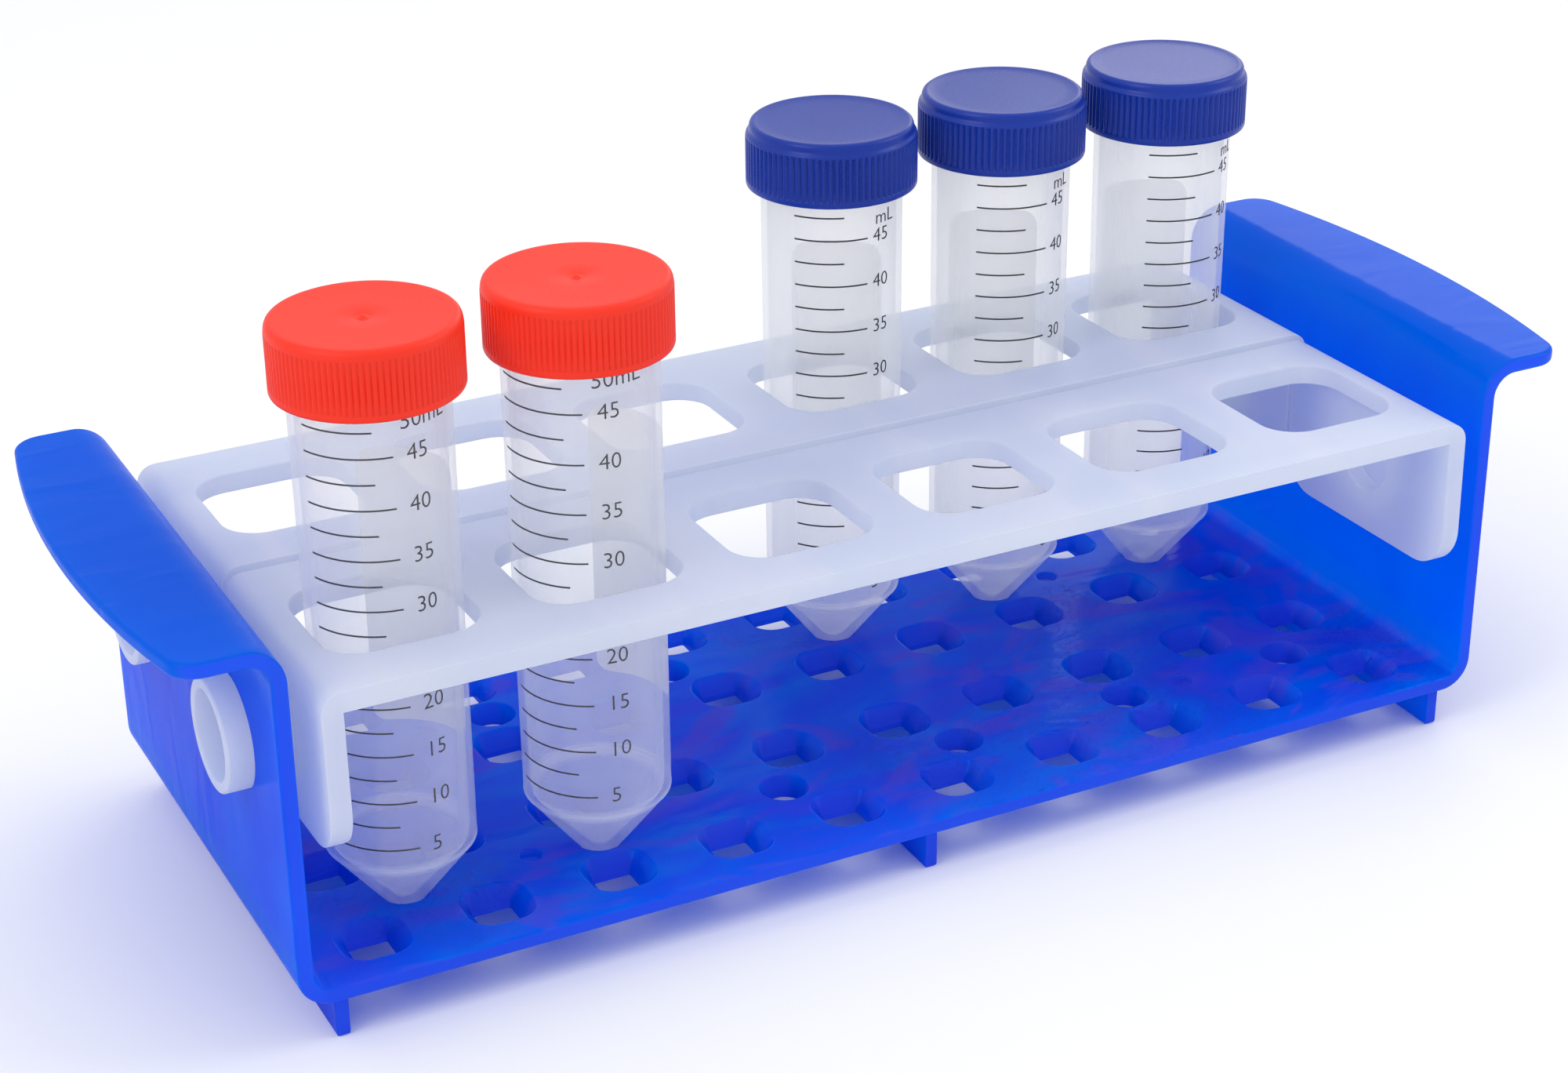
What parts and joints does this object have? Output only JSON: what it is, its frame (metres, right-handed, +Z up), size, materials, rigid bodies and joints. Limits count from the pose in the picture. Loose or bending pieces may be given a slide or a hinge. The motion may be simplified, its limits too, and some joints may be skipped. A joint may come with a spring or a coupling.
{
  "type": "test tube rack",
  "caption": "Bench rack for centrifuge tubes: a bent one-piece frame with handle flanges, funnel seats in its floor, two rocking tray halves, and capped conical tubes.",
  "frame": {"origin": "under the middle of the rack, on the plane the three foot ribs stand on", "axes": "+X along the rack towards the right handle, +Y to the rear row, +Z up"},
  "size_m": [0.3, 0.1084, 0.1262],
  "materials": {
    "frame_blue": "translucent royal blue polypropylene, satin gloss",
    "tray_natural": "milky natural polypropylene",
    "tube_clear": "clear polypropylene with black graduations",
    "tube_frosted": "slightly frosted polypropylene with black graduations",
    "cap_red": "satin moulded plastic",
    "cap_blue": "satin moulded plastic"
  },
  "bodies": {
    "frame": {"frame": "frame_blue"},
    "front_tray": {"front_tray": "tray_natural"},
    "rear_tray": {"rear_tray": "tray_natural"},
    "front_tube_1": {"front_tube_1": "tube_clear"},
    "front_tube_1_cap": {"front_tube_1_cap": "cap_red"},
    "front_tube_2": {"front_tube_2": "tube_clear"},
    "front_tube_2_cap": {"front_tube_2_cap": "cap_red"},
    "rear_tube_4": {"rear_tube_4": "tube_frosted"},
    "rear_tube_4_cap": {"rear_tube_4_cap": "cap_blue"},
    "rear_tube_5": {"rear_tube_5": "tube_frosted"},
    "rear_tube_5_cap": {"rear_tube_5_cap": "cap_blue"},
    "rear_tube_6": {"rear_tube_6": "tube_frosted"},
    "rear_tube_6_cap": {"rear_tube_6_cap": "cap_blue"}
  },
  "joints": [
    {"name": "front_tray_rock", "type": "hinge", "parent": "frame", "child": "front_tray", "pos_m": [0, -0.0272, 0.053], "axis": [1, 0, 0], "range_deg": [0, 2]},
    {"name": "rear_tray_rock", "type": "hinge", "parent": "frame", "child": "rear_tray", "pos_m": [0, 0.0272, 0.053], "axis": [1, 0, 0], "range_deg": [0, 2]},
    {"name": "front_tube_1_lift", "type": "slide", "parent": "frame", "child": "front_tube_1", "axis": [0, 0, 1], "range_m": [0, 0.07]},
    {"name": "front_tube_1_cap_off", "type": "slide", "parent": "front_tube_1", "child": "front_tube_1_cap", "axis": [0, 0, 1], "range_m": [0, 0.018]},
    {"name": "front_tube_2_lift", "type": "slide", "parent": "frame", "child": "front_tube_2", "axis": [0, 0, 1], "range_m": [0, 0.07]},
    {"name": "front_tube_2_cap_off", "type": "slide", "parent": "front_tube_2", "child": "front_tube_2_cap", "axis": [0, 0, 1], "range_m": [0, 0.018]},
    {"name": "rear_tube_4_lift", "type": "slide", "parent": "frame", "child": "rear_tube_4", "axis": [0, 0, 1], "range_m": [0, 0.07]},
    {"name": "rear_tube_4_cap_off", "type": "slide", "parent": "rear_tube_4", "child": "rear_tube_4_cap", "axis": [0, 0, 1], "range_m": [0, 0.018]},
    {"name": "rear_tube_5_lift", "type": "slide", "parent": "frame", "child": "rear_tube_5", "axis": [0, 0, 1], "range_m": [0, 0.07]},
    {"name": "rear_tube_5_cap_off", "type": "slide", "parent": "rear_tube_5", "child": "rear_tube_5_cap", "axis": [0, 0, 1], "range_m": [0, 0.018]},
    {"name": "rear_tube_6_lift", "type": "slide", "parent": "frame", "child": "rear_tube_6", "axis": [0, 0, 1], "range_m": [0, 0.07]},
    {"name": "rear_tube_6_cap_off", "type": "slide", "parent": "rear_tube_6", "child": "rear_tube_6_cap", "axis": [0, 0, 1], "range_m": [0, 0.018]}
  ]
}
